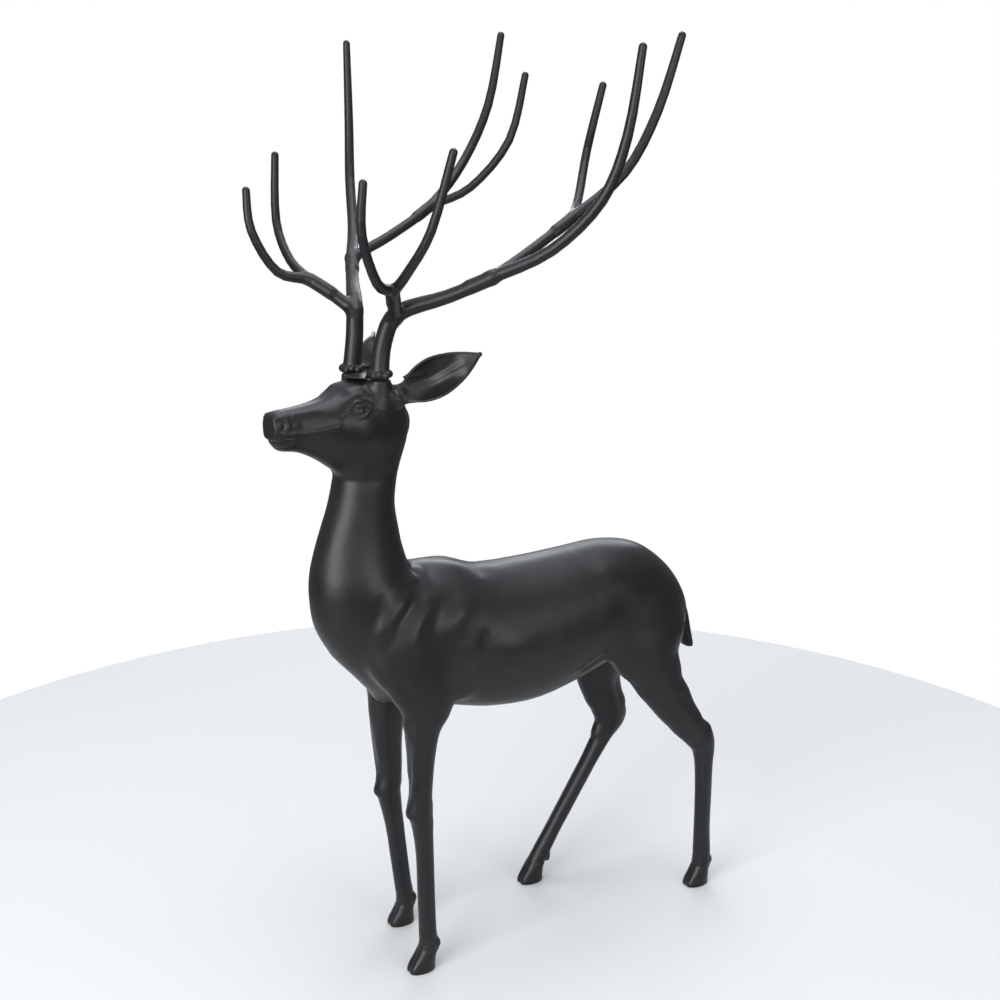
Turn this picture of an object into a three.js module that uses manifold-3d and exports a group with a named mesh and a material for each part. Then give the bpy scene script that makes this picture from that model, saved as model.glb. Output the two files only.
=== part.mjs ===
// A standing stag, cast and painted: the animal is one casting, and each antler is a casting of its own
// that is seated on a short stump of bone on the brow. Millimetres, +X is forward, +Y is the stag's left.

import * as THREE from 'three';
import { mergeVertices } from 'three/addons/utils/BufferGeometryUtils.js';
import Module from 'manifold-3d';

const wasm = await Module();
wasm.setup();

// Driving dimensions, in millimetres.
const height = 1110;          // floor to the highest antler tip
const seatGap = 0.3;          // between each antler's foot and the stump that carries it
const burrHeight = 8.5;       // the knobbed ring at the foot of an antler
const burrRadius = 14.2;
const stumpRadius = 11.0;     // the stump under the ring
const cleftWidth = 1.8;       // the split between the two toes of a hoof
const cleftHeight = 15.0;
const mouthWidth = 1.4;       // the groove between the lips

// The pose and the carving are set in small shares of the height. Their x and y start halfway between the
// fore hooves, and the finished stag is moved so that its box stands centred on the origin.
const heightInShares = 1009;
const share = height / heightInShares;
const boxMiddle = [-116, -32];
const floor = -3;
const headPlace = [39, 0, 669];
const headTurn = THREE.MathUtils.degToRad(12);

// How many corners each kind of section has.
const bodySides = 22;
const limbSides = 12;
const earSides = 14;
const tineSides = 7;
const smallSides = 6;

// The trunk, as upright sections from breast to rump: [x, top, bottom, half width].
const trunkRows = [
  [90, 404, 376, 15],
  [72, 430, 345, 36],
  [40, 447, 320, 50],
  [0, 458, 300, 58],
  [-45, 456, 289, 63],
  [-95, 443, 278, 66],
  [-150, 441, 273, 67],
  [-205, 441, 280, 64],
  [-255, 442, 296, 60],
  [-298, 431, 300, 56],
  [-332, 405, 306, 48],
  [-356, 375, 312, 36],
  [-370, 348, 322, 18],
];

// The breast and neck, as level sections from the brisket up into the skull: [z, front, back, half width].
const neckRows = [
  [314, 34, -20, 18],
  [330, 40, -34, 32],
  [362, 68, -46, 44],
  [398, 97, -48, 51],
  [430, 105, -36, 50],
  [456, 106, -8, 44],
  [480, 101, 4, 38],
  [505, 93, 9, 34],
  [530, 84, 12.5, 32],
  [555, 78, 10, 31],
  [578, 77, 5, 31.5],
  [604, 72, 2, 31],
  [630, 58, 6, 26],
  [646, 44, 18, 14],
];

// The head, as upright sections from the nape to the muzzle: [ahead, top, bottom, half width].
const headRows = [
  [-38, -38, -70, 13],
  [-31, -22, -94, 26],
  [-14, -9, -105, 32],
  [8, -5, -108, 34],
  [28, -9, -106, 34],
  [46, -17, -95, 29],
  [66, -22, -81, 22.5],
  [86, -24.5, -71, 18],
  [106, -26, -66.5, 15.5],
  [116, -28.5, -61, 14],
  [119, -33, -55, 11.5],
];
const jawNarrowing = 0.2;

// The legs, from the muscle that lies on the trunk down to the hoof: [x, y, z, half depth, half width].
const legRows = {
  leftFore: [
    [2, 20, 446, 18, 12],
    [18, 32, 412, 38, 22],
    [19, 39, 370, 42, 24],
    [8, 44, 334, 33, 21],
    [2, 47, 306, 25, 18],
    [5, 48, 283, 19.5, 16],
    [7, 49, 252, 15, 14],
    [8, 49, 214, 12.8, 12.6],
    [10, 49, 192, 14.4, 13.2],
    [6, 49, 172, 11.4, 11.8],
    [4, 49, 140, 9.8, 9.8],
    [3, 49, 90, 9.6, 9.6],
    [2, 49, 44, 10, 10],
    [2, 49, 27, 11.2, 11],
    [6, 49, 12, 10.5, 10.5],
  ],
  rightFore: [
    [2, -20, 446, 18, 12],
    [16, -32, 412, 38, 22],
    [16, -39, 370, 42, 24],
    [5, -44, 330, 33, 21],
    [0, -47, 300, 25, 18],
    [1, -48, 270, 20, 16],
    [1, -49, 236, 15.8, 14],
    [-1, -49, 196, 13.2, 12.6],
    [1, -49, 174, 14.8, 13.2],
    [-3, -49, 154, 12, 12],
    [-7, -49, 124, 10.2, 9.8],
    [-11, -49, 84, 9.5, 9.5],
    [-16, -49, 44, 9.8, 10],
    [-18, -49, 27, 11, 11],
    [-15, -49, 12, 10.5, 10.5],
  ],
  leftHind: [
    [-272, 20, 410, 22, 14],
    [-285, 32, 380, 46, 25],
    [-292, 38, 344, 60, 28],
    [-291, 43, 310, 46, 27],
    [-303, 48, 282, 30, 22],
    [-315, 51, 260, 26, 19],
    [-330, 53, 238, 23, 16.5],
    [-346, 54, 216, 21, 14],
    [-361, 55, 196, 17.5, 12.5],
    [-370, 55, 178, 13.5, 12],
    [-371, 55, 158, 11, 11],
    [-372, 55, 120, 10.2, 10],
    [-373, 54, 70, 10, 9.8],
    [-374, 54, 30, 11.2, 11],
    [-371, 54, 12, 10.8, 10.5],
  ],
  rightHind: [
    [-272, -20, 410, 22, 14],
    [-284, -32, 380, 46, 25],
    [-286, -38, 342, 60, 28],
    [-276, -43, 304, 46, 26],
    [-287, -48, 270, 33, 22],
    [-293, -51, 246, 27.5, 18],
    [-297, -52, 226, 24.5, 16],
    [-302, -53, 206, 21.5, 14.5],
    [-304, -54, 187, 18, 13],
    [-296, -54, 168, 13, 12],
    [-284, -54, 148, 10.6, 11],
    [-262, -54, 116, 9.8, 10],
    [-226, -54, 62, 9.5, 9.7],
    [-206, -54, 30, 10.8, 10.5],
    [-197, -54, 12, 10.5, 10.5],
  ],
};

// A hoof, as level sections from the sole up: [z, front, back, half width] about its own middle.
const hoofRows = [
  [-3, 16.5, -16, 12.8],
  [2, 16, -16.5, 12.8],
  [10, 9.5, -15, 11.8],
  [18, 4.5, -13.5, 10.8],
  [23, 1, -12, 9],
];
const hoofPlaces = {
  leftFore: [12, 49],
  rightFore: [-11, -49],
  leftHind: [-366, 54],
  rightHind: [-192, -54],
};
const dewclaw = { z: 26, back: 10, apart: 5, radii: [4, 3.5, 4.4] };
const cleftReach = { back: 1, front: 27, sunk: 1 };

// The tail lies flat on the rump: [x, y, z, half depth, half width].
const tailRows = [
  [-344, 0, 384, 5, 6],
  [-362, 0, 362, 5, 8],
  [-374, 0, 336, 5, 9.5],
  [-379, 0, 312, 4.6, 10.5],
  [-383, 0, 292, 3.8, 10.5],
];

// An ear, in the head's own axes: a leaf from root to tip, hollowed on its outer face.
const ear = {
  root: [-14, 27, -29],
  tip: [-77, 86, 16],
  facing: [0.62, 0.62, 0.2],
  rows: [[0, 9, 7], [0.1, 12, 6.5], [0.3, 19, 5], [0.5, 21, 4.2], [0.7, 17, 3.6], [0.88, 9, 3], [1, 2.5, 2]],
  hollow: 0.75,
};
const eye = { place: [31, 29.5, -31], radii: [7.5, 7.5, 7.5], sides: 10 };
const nostril = { place: [112, 12.5, -41], radii: [3.4, 2.6, 2.6] };
const mouthLine = [[121, 0, -53], [108, 15.5, -54], [94, 17.5, -57], [80, 21.5, -60]];

// The antlers, in the head's own axes: [ahead, outward, up, radius]. Each branch starts on the one before.
const antlerFoot = [0, 23];
const stumpRows = [[-34, 1.5], [-12, 1.05], [0, 1]];            // [below the seat, share of its radius]
const burrRows = [[0, 0.82], [0.3, 1], [0.65, 1], [1, 0.75]];   // [share of its height, share of its radius]
const antlerBranches = {
  stem: [[0, 23, -1, 9.6], [-5, 24, 32, 9], [-15, 36, 61, 8.6], [-44, 78, 79, 7], [-70, 114, 98, 6.7]],
  outer: [[-70, 114, 99, 6.4], [-106, 159, 126, 5.8], [-133, 199, 175, 5.5], [-147, 217, 236, 5],
    [-154, 227, 318, 4]],
  front: [[-13, 33, 56, 7], [15, 66, 86, 6.2], [46, 83, 98, 4.9], [69, 92, 142, 4.5], [70, 97, 185, 4]],
  brow: [[4, 52, 75, 5.4], [15, 68, 87, 5.4], [21, 96, 106, 4.8], [16, 127, 146, 4.5], [3, 144, 214, 4]],
  rear: [[-58, 96, 90, 5.6], [-76, 113, 101, 5.6], [-122, 111, 120, 5.4], [-179, 111, 149, 5.4],
    [-241, 126, 194, 5.2], [-283, 131, 255, 5], [-309, 138, 331, 4.2]],
  inner: [[-160, 111, 139, 4.8], [-182, 109, 150, 4.8], [-216, 85, 168, 4.6], [-252, 61, 217, 4.5],
    [-275, 60, 284, 4]],
};
// The tines are bent by hand: a tip stands this much above its mean on the left side, and below on the right.
const tipLift = { stem: 0, outer: -6.3, front: 7.7, brow: 5.7, rear: -3.6, inner: -5.5 };

// A value on a smooth curve through a table's rows, at row number `place`, which may be a fraction.
function rowAt(rows, place) {
  const first = Math.min(Math.floor(place), rows.length - 2);
  const part = place - first;
  const row = (index) => rows[Math.min(Math.max(index, 0), rows.length - 1)];
  const [a, b, c, d] = [first - 1, first, first + 1, first + 2].map(row);
  return b.map((_, column) => {
    const slopeIn = (c[column] - a[column]) / 2;
    const slopeOut = (d[column] - b[column]) / 2;
    const rise = b[column] - c[column];
    const cubic = 2 * rise + slopeIn + slopeOut;
    const square = -3 * rise - 2 * slopeIn - slopeOut;
    return ((cubic * part + square) * part + slopeIn) * part + b[column];
  });
}

function smoothRows(rows, steps) {
  const count = (rows.length - 1) * steps;
  return Array.from({ length: count + 1 }, (_, index) => rowAt(rows, index / steps));
}

// Corners of an oval around a centre: `wide` along one unit vector and `deep` along the other.
function oval(centre, across, along, wide, deep, sides, narrowing = 0) {
  return Array.from({ length: sides }, (_, index) => {
    const angle = (index / sides) * 2 * Math.PI;
    const width = wide * (1 + narrowing * Math.sin(angle));
    return centre.clone()
      .addScaledVector(across, width * Math.cos(angle))
      .addScaledVector(along, deep * Math.sin(angle));
  });
}

// A closed solid over rings of equally many corners, with a flat fan over each end.
function skin(rings) {
  const sides = rings[0].length;
  const points = rings.flat();
  for (const ring of [rings[0], rings[rings.length - 1]]) {
    const sum = ring.reduce((total, corner) => total.add(corner), new THREE.Vector3());
    points.push(sum.divideScalar(sides));
  }
  const faces = [];
  for (let ring = 0; ring < rings.length - 1; ring += 1) {
    for (let side = 0; side < sides; side += 1) {
      const next = (side + 1) % sides;
      const [a, b] = [ring * sides + side, ring * sides + next];
      faces.push(a, b, b + sides, a, b + sides, a + sides);
    }
  }
  const lastRing = (rings.length - 1) * sides;
  for (let side = 0; side < sides; side += 1) {
    const next = (side + 1) % sides;
    faces.push(points.length - 2, next, side);
    faces.push(points.length - 1, lastRing + side, lastRing + next);
  }
  return solid(points, faces);
}

// A manifold solid from points in thousandths of the height, with its faces turned outward.
function solid(points, faces) {
  let volume = 0;
  for (let face = 0; face < faces.length; face += 3) {
    const [a, b, c] = [points[faces[face]], points[faces[face + 1]], points[faces[face + 2]]];
    volume += a.dot(b.clone().cross(c));
  }
  const ordered = volume > 0 ? faces : faces.slice().reverse();
  const vertProperties = new Float32Array(points.flatMap((point) => point.toArray().map((v) => v * share)));
  const mesh = new wasm.Mesh({ numProp: 3, vertProperties, triVerts: new Uint32Array(ordered) });
  return new wasm.Manifold(mesh);
}

// A manifold solid from a three.js geometry in thousandths of the height, placed by a matrix.
function solidOf(geometry, matrix) {
  const bare = geometry.clone();
  bare.deleteAttribute('normal');
  bare.deleteAttribute('uv');
  const merged = mergeVertices(bare).applyMatrix4(matrix);
  const place = merged.getAttribute('position');
  const points = [];
  for (let corner = 0; corner < place.count; corner += 1) {
    points.push(new THREE.Vector3().fromBufferAttribute(place, corner));
  }
  return solid(points, Array.from(merged.index.array));
}

const axisX = new THREE.Vector3(1, 0, 0);
const axisY = new THREE.Vector3(0, 1, 0);
const axisZ = new THREE.Vector3(0, 0, 1);
const point = (values) => new THREE.Vector3(values[0], values[1], values[2]);

// Sections that stand upright across the x axis, in the trunk's or the head's own axes.
function uprightLoft(rows, steps, sides, narrowing, matrix = new THREE.Matrix4()) {
  return skin(smoothRows(rows, steps).map(([x, top, bottom, halfWidth]) => {
    const centre = new THREE.Vector3(x, 0, (top + bottom) / 2);
    const ring = oval(centre, axisY, axisZ, halfWidth, (top - bottom) / 2, sides, narrowing);
    return ring.map((corner) => corner.applyMatrix4(matrix));
  }));
}

// Sections that lie level, around a middle line at (x, y).
function levelLoft(rows, steps, sides, x = 0, y = 0) {
  return skin(smoothRows(rows, steps).map(([z, front, back, halfWidth]) => {
    const centre = new THREE.Vector3(x + (front + back) / 2, y, z);
    return oval(centre, axisY, axisX, halfWidth, (front - back) / 2, sides);
  }));
}

// Sections square to a path, as a limb has them: [x, y, z, half depth, half width].
function limb(rows, steps, sides) {
  const smooth = smoothRows(rows, steps);
  const path = smooth.map(point);
  return skin(smooth.map((row, index) => {
    const before = path[Math.max(index - 1, 0)];
    const after = path[Math.min(index + 1, path.length - 1)];
    const along = after.clone().sub(before).normalize();
    const across = axisY.clone().addScaledVector(along, -along.y).normalize();
    return oval(path[index], across, across.clone().cross(along), row[4], row[3], sides);
  }));
}

// A round rod along a path with a radius at each point: [x, y, z, radius], with a rounded far end.
function rod(rows, steps, sides) {
  const smooth = smoothRows(rows, steps);
  const path = smooth.map(point);
  const rings = [];
  let across = axisY.clone();
  smooth.forEach((row, index) => {
    const before = path[Math.max(index - 1, 0)];
    const after = path[Math.min(index + 1, path.length - 1)];
    const along = after.clone().sub(before).normalize();
    across = across.addScaledVector(along, -across.dot(along)).normalize();
    rings.push(oval(path[index], across, across.clone().cross(along), row[3], row[3], sides));
    if (index === path.length - 1) {
      const end = path[index].clone().addScaledVector(along, row[3] * 0.5);
      rings.push(oval(end, across, across.clone().cross(along), row[3] * 0.6, row[3] * 0.6, sides));
    }
  });
  return skin(rings);
}

function ball(centre, radii, matrix, sides) {
  const shape = new THREE.SphereGeometry(1, sides, Math.round(sides * 0.7));
  const own = new THREE.Matrix4().makeScale(...radii).setPosition(...centre);
  return solidOf(shape, own.premultiply(matrix));
}

const headFrame = new THREE.Matrix4().makeRotationZ(headTurn).setPosition(...headPlace);
const mirrored = (values, side) => [values[0], side * values[1], ...values.slice(2)];

// The ear: sections square to the line from root to tip, pressed in on the side that faces out.
function earSolid(side) {
  const root = point(mirrored(ear.root, side));
  const tip = point(mirrored(ear.tip, side));
  const along = tip.clone().sub(root).normalize();
  const out = point(mirrored(ear.facing, side));
  out.addScaledVector(along, -out.dot(along)).normalize();
  const across = along.clone().cross(out);
  const rings = smoothRows(ear.rows, 2).map(([place, halfWidth, halfDepth]) => {
    const centre = root.clone().lerp(tip, place);
    const depth = halfWidth * ear.hollow * Math.sin(Math.PI * Math.min(place * 1.2, 1));
    return oval(centre, across, out, halfWidth, halfDepth, earSides).map((corner) => {
      const aside = corner.clone().sub(centre).dot(across) / halfWidth;
      const lift = depth * (aside * aside - 0.5);
      return corner.addScaledVector(out, lift).applyMatrix4(headFrame);
    });
  });
  return skin(rings);
}

// The stump that carries an antler ends flat, and the antler's ring starts a gap above it.
const seatHeight = headPlace[2] - (burrHeight / share) / 2;
function footPlace(side) {
  const foot = new THREE.Vector3(antlerFoot[0], side * antlerFoot[1], 0).applyMatrix4(headFrame);
  return [foot.x, foot.y];
}

// Round level sections around the foot of an antler: [height in shares, radius in shares].
function turned(side, rows) {
  const [x, y] = footPlace(side);
  return skin(rows.map(([z, radius]) => {
    return oval(new THREE.Vector3(x, y, z), axisY, axisX, radius, radius, limbSides);
  }));
}

function stump(side) {
  return turned(side, stumpRows.map(([below, wide]) => [seatHeight + below, wide * stumpRadius / share]));
}

function burr(side) {
  const low = seatHeight + seatGap / share;
  const tall = (burrHeight - seatGap) / share;
  return turned(side, burrRows.map(([up, wide]) => [low + up * tall, wide * burrRadius / share]));
}

function antler(side) {
  const parts = Object.entries(antlerBranches).map(([name, rows]) => {
    const placed = rows.map((row, index) => {
      const reach = index / (rows.length - 1);
      const [ahead, outward, up, radius] = row;
      const lifted = up + side * tipLift[name] * reach * reach;
      const place = new THREE.Vector3(ahead, side * outward, lifted).applyMatrix4(headFrame);
      return [place.x, place.y, place.z, radius];
    });
    return rod(placed, 3, tineSides);
  });
  return joined([...parts, burr(side)]);
}

function joined(parts) {
  return parts.reduce((sum, part) => sum.add(part));
}

function hoof(name) {
  const [x, y] = hoofPlaces[name];
  const ankle = legRows[name][legRows[name].length - 2];
  const claws = [-1, 1].map((side) => {
    const place = [ankle[0] - dewclaw.back, ankle[1] + side * dewclaw.apart, dewclaw.z];
    return ball(place, dewclaw.radii, new THREE.Matrix4(), smallSides);
  });
  return joined([levelLoft(hoofRows, 1, limbSides, x, y), ...claws]);
}

// The split between the toes, open at the front of the hoof and at its sole.
function cleft(name) {
  const [x, y] = hoofPlaces[name];
  const tall = cleftHeight / share + cleftReach.sunk;
  const box = new THREE.BoxGeometry(cleftReach.front - cleftReach.back, cleftWidth / share, tall);
  const middleX = x + (cleftReach.front + cleftReach.back) / 2;
  return solidOf(box, new THREE.Matrix4().makeTranslation(middleX, y, floor - cleftReach.sunk + tall / 2));
}

// The groove between the lips runs from one corner of the mouth round the front to the other.
function mouth() {
  const farHalf = mouthLine.slice(1).reverse().map((row) => mirrored(row, -1));
  const places = [...farHalf, ...mouthLine].map((row) => point(row).applyMatrix4(headFrame));
  return rod(places.map((place) => [...place.toArray(), mouthWidth / share / 2]), 2, smallSides);
}

function stag() {
  const legs = Object.keys(legRows);
  const sides = [-1, 1];
  const mass = joined([
    uprightLoft(trunkRows, 1, bodySides, 0),
    levelLoft(neckRows, 1, bodySides),
    uprightLoft(headRows, 2, bodySides, jawNarrowing, headFrame),
    limb(tailRows, 2, limbSides),
    ...legs.map((name) => limb(legRows[name], 1, limbSides)),
    ...legs.map(hoof),
    ...sides.map(stump),
    ...sides.map(earSolid),
    ...sides.map((side) => ball(mirrored(eye.place, side), eye.radii, headFrame, eye.sides)),
  ]);
  const nostrils = sides.map((side) => {
    return ball(mirrored(nostril.place, side), nostril.radii, headFrame, smallSides);
  });
  return [...legs.map(cleft), ...nostrils, mouth()].reduce((rest, cut) => rest.subtract(cut), mass);
}

const paint = new THREE.MeshStandardMaterial({ color: 0x2b2b2f, roughness: 0.42, metalness: 0.15 });

function named(name, body) {
  const { vertProperties, triVerts } = body.getMesh();
  const geometry = new THREE.BufferGeometry();
  geometry.setAttribute('position', new THREE.BufferAttribute(vertProperties, 3));
  geometry.setIndex(new THREE.BufferAttribute(triVerts, 1));
  geometry.computeVertexNormals();
  const mesh = new THREE.Mesh(geometry, paint.clone());
  mesh.name = name;
  return mesh;
}

const group = new THREE.Group();
group.add(named('deer', stag()), named('left_antler', antler(1)), named('right_antler', antler(-1)));
group.position.set(-boxMiddle[0] * share, -boxMiddle[1] * share, -floor * share);

export default group;
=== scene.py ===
"""A standing stag, cast in metal and painted satin black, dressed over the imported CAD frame.

The animal's skin is worked out as one smooth distance field. Rounded forms are joined with soft fillets,
and muscles, creases, lids and lips are pressed into the result as ridges and grooves. The field is then
turned into a mesh of four-sided faces, coarse on the body and fine on the head and the feet. Each antler is
made the same way. Sizes are in shares, where the whole stag is HEIGHT_IN_SHARES tall: x ahead of the fore
hooves, y to the stag's left, and z above the ground.
"""

import math

import bpy
import numpy as np
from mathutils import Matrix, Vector


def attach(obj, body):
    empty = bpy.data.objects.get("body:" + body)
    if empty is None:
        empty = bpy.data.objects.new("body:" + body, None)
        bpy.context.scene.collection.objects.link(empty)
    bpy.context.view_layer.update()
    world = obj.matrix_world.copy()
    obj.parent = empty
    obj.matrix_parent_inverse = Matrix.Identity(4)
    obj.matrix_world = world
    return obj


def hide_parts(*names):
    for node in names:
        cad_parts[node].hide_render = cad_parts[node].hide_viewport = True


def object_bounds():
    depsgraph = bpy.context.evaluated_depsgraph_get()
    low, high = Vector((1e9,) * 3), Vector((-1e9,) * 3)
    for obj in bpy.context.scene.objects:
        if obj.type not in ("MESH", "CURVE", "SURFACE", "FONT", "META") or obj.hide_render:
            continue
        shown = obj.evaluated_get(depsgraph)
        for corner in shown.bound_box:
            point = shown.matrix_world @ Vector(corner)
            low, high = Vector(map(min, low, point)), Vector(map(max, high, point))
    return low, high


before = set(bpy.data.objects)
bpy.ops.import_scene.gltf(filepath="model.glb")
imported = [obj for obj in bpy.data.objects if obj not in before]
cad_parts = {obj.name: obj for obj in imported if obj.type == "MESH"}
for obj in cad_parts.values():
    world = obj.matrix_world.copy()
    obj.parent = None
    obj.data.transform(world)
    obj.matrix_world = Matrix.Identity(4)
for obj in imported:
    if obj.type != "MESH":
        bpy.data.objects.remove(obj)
cad_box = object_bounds()

# The shares' scale and place in the frame.
HEIGHT_IN_SHARES = 1009.4
SHARE = (cad_box[1].z - cad_box[0].z) / HEIGHT_IN_SHARES
FRAME_ORIGIN = np.array([-116.0, -32.0, -3.0])
FLOOR = -3.0              # the plane that the soles stand on
REACH = 26.0              # how far from its box a form still counts
FAR = 1e3                 # a distance beyond every form
HEAD_PLACE = np.array([39.0, 0.0, 669.0])
HEAD_TURN = math.radians(12)

# The mesh's cell on each part, in metres.
BODY_CELL = 0.004
HEAD_CELL = 0.00135
FOOT_CELL = 0.0018
ANTLER_CELL = 0.0016
EVENING = 0.6             # how far each round of evening out moves a corner to its neighbours' middle
NECK_CUT = 556.0          # where the body's cells meet the head's, above the floor
FETLOCK_CUT = 42.0        # where they meet the feet's

# The trunk, as upright sections from breast to rump: [x, top, bottom, half width].
TRUNK = [
    [80, 406, 374, 15], [66, 430, 351, 34], [40, 447, 320, 50], [0, 458, 300, 58], [-45, 456, 289, 63],
    [-95, 443, 277, 66], [-150, 441, 274, 67], [-205, 443, 285, 64], [-255, 445, 301, 60],
    [-298, 436, 302, 55], [-330, 414, 307, 48], [-350, 389, 313, 37], [-361, 364, 322, 22],
]

# The breast and neck, as level sections from the brisket up into the skull: [z, front, back, half width].
NECK = [
    [312, 40, -20, 18], [330, 51, -34, 32], [362, 80, -46, 44], [398, 101, -48, 51], [430, 106.5, -36, 50],
    [456, 106, -6, 44], [480, 101, 4, 38], [505, 93, 9, 34], [530, 84, 12.5, 32], [555, 78, 10, 31],
    [578, 77, 5, 31.5], [604, 72, 2, 31], [630, 58, 6, 26], [646, 44, 18, 14],
]

# The head, as upright sections from nape to muzzle, in its own axes: [ahead, top, bottom, half width].
HEAD = [
    [-38, -37, -80, 19], [-30, -22, -95, 27], [-14, -9, -105, 32], [8, -5, -108, 34], [28, -9, -106, 34],
    [46, -17, -95, 29], [66, -22, -81, 22.5], [86, -24.5, -71, 18], [104, -25.5, -66.5, 15.5],
    [113, -27.5, -61.5, 14], [116.5, -32, -55, 11.5],
]
JAW_NARROWING = 0.2

# The legs, from the muscle on the trunk down to the hoof: [x, y, z, half depth, half width].
LEGS = {
    "left_fore": [
        [2, 20, 446, 18, 12], [18, 32, 412, 38, 22], [18, 39, 370, 43, 24], [5, 44, 334, 37, 21],
        [-1, 47, 306, 28.5, 18], [5, 48, 283, 19.8, 16], [7.5, 49, 252, 15, 14], [9, 49, 214, 12.8, 12.6],
        [11, 49, 192, 14.2, 13.2], [7.5, 49, 172, 11.6, 11.8], [5.2, 49, 140, 10, 9.8],
        [4.2, 49, 90, 9.8, 9.6], [3, 49, 44, 10, 10], [2, 49, 27, 11.2, 11], [6, 49, 12, 10.5, 10.5],
    ],
    "right_fore": [
        [2, -20, 446, 18, 12], [16, -32, 412, 38, 22], [16, -39, 370, 42, 24], [5, -44, 330, 33, 21],
        [0, -47, 300, 25, 18], [1, -48, 270, 21.5, 16], [1, -49, 236, 17.4, 14], [-1, -49, 196, 14.4, 12.6],
        [2, -49, 174, 15, 13.2], [-1.5, -49, 154, 12.6, 12], [-6, -49, 124, 10.8, 9.8],
        [-10.5, -49, 84, 10.2, 9.5], [-15.5, -49, 44, 10.2, 10], [-18, -49, 27, 11, 11],
        [-15, -49, 12, 10.5, 10.5],
    ],
    "left_hind": [
        [-270, 20, 410, 22, 14], [-282, 32, 380, 44, 25], [-287, 38, 344, 57, 28], [-287, 43, 310, 44, 27],
        [-300, 48, 282, 31, 22], [-313, 51, 260, 28, 19], [-327, 53, 238, 23.5, 16.5],
        [-344, 54, 216, 20, 14], [-360, 55, 196, 18.5, 12.5], [-369, 55, 178, 14.5, 12],
        [-371, 55, 158, 11.2, 11], [-372, 55, 120, 10.2, 10], [-373, 54, 70, 10, 9.8],
        [-374, 54, 30, 11.2, 11], [-371, 54, 12, 10.8, 10.5],
    ],
    "right_hind": [
        [-270, -20, 410, 22, 14], [-281, -32, 380, 44, 25], [-281, -38, 342, 56, 28],
        [-271, -43, 304, 46, 26], [-282.5, -48, 270, 33.5, 22], [-288, -51, 246, 28, 18],
        [-295, -52, 226, 25, 16], [-304, -53, 206, 23, 14.5], [-307, -54, 188, 20.5, 13],
        [-295, -54, 168, 12.6, 12], [-282, -54, 148, 10.2, 11], [-261, -54, 116, 9.4, 10],
        [-226, -54, 62, 9.5, 9.7], [-206, -54, 30, 10.8, 10.5], [-197, -54, 12, 10.5, 10.5],
    ],
}
HOOF_PLACES = {
    "left_fore": (12, 49), "right_fore": (-11, -49), "left_hind": (-366, 54), "right_hind": (-192, -54),
}
# One toe of a hoof, as level sections: [z, front, back, half width]. Two stand side by side.
TOE = [[-3, 14.5, -14.6, 7.4], [0, 15, -15.2, 7.8], [4, 13.6, -15, 7.7], [9, 10.6, -14.2, 7.4],
       [14, 6.8, -13, 6.9], [18, 3.6, -11.5, 6.2], [22, 0.5, -9, 5.2]]
TOE_APART = 4.0
DEWCLAW_RADII = (4.0, 3.2, 7.0)
DEWCLAW_PLACE = (7.8, 5.2, 27)     # behind the ankle, aside and up
ANKLE = 30                # the height whose middle they are set from

# The height of each knee, and of each hock's point and its step to the shank.
KNEES = {"left_fore": 194, "right_fore": 176}
HOCKS = {"left_hind": (206, 178), "right_hind": (192, 168)}

# The tail lies flat on the rump: [x, y, z, half depth, half width].
TAIL = [
    [-338, 0, 388, 6, 6], [-356, 0, 367, 7.5, 8], [-368, 0, 340, 9, 9.5], [-375, 0, 314, 8, 10.5],
    [-381, 0, 293, 6, 11],
]

# The eyes, in the head's axes.
EYE_PLACE = (28.6, 24.9, -32.6)
EYE_LOOK = (0.25, 0.92, 0.3)
EYE_RADII = (12, 7.2, 9.6)     # along its opening, out of the head, and up
IRIS = 6.0

# The ears, in the head's axes: rows of [share of the length, half width, half thickness].
EAR_ROOT = (-14, 27, -28)
EAR_TIP = (-77, 87, 19)
EAR_FACING = (0.62, 0.62, 0.2)
EAR = [[0, 8, 7], [0.1, 9.5, 6.4], [0.2, 13, 5.4], [0.32, 17.6, 4.2], [0.5, 20.5, 3.4], [0.7, 16.8, 3],
       [0.88, 9.4, 2.6], [1, 2.5, 2]]
EAR_HOLLOW = 0.85

# The antlers, in the head's axes: [ahead, outward, up, radius]. Each branch starts on the one before.
ANTLER_FOOT = (0, 23)
SEAT = -5.2          # the top of the bone that carries an antler
BURR_RADIUS = 10.8
BURR_KNOBS = 12
BRANCHES = {
    "stem": [[0, 23, -1, 9.6], [-5, 24, 32, 9], [-15, 36, 61, 8.6], [-44, 78, 79, 7], [-70, 114, 98, 6.7]],
    "outer": [[-70, 114, 99, 6.4], [-106, 159, 126, 5.8], [-133, 199, 175, 5.5], [-147, 217, 236, 5],
              [-154, 227, 318, 4]],
    "front": [[-13, 33, 56, 7], [15, 66, 86, 6.2], [46, 83, 98, 4.9], [69, 92, 142, 4.5], [70, 97, 185, 4]],
    "brow": [[4, 52, 75, 5.4], [15, 68, 87, 5.4], [21, 96, 106, 4.8], [16, 127, 146, 4.5], [3, 144, 214, 4]],
    "rear": [[-58, 96, 90, 5.6], [-76, 113, 101, 5.6], [-122, 111, 120, 5.4], [-179, 111, 149, 5.4],
             [-241, 126, 194, 5.2], [-283, 131, 255, 5], [-309, 138, 331, 4.2]],
    "inner": [[-160, 111, 139, 4.8], [-182, 109, 150, 4.8], [-216, 85, 168, 4.6], [-252, 61, 217, 4.5],
              [-275, 60, 284, 4]],
}
TIP_LIFT = {"stem": 0, "outer": -6.3, "front": 7.7, "brow": 5.7, "rear": -3.6, "inner": -5.5}

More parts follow.
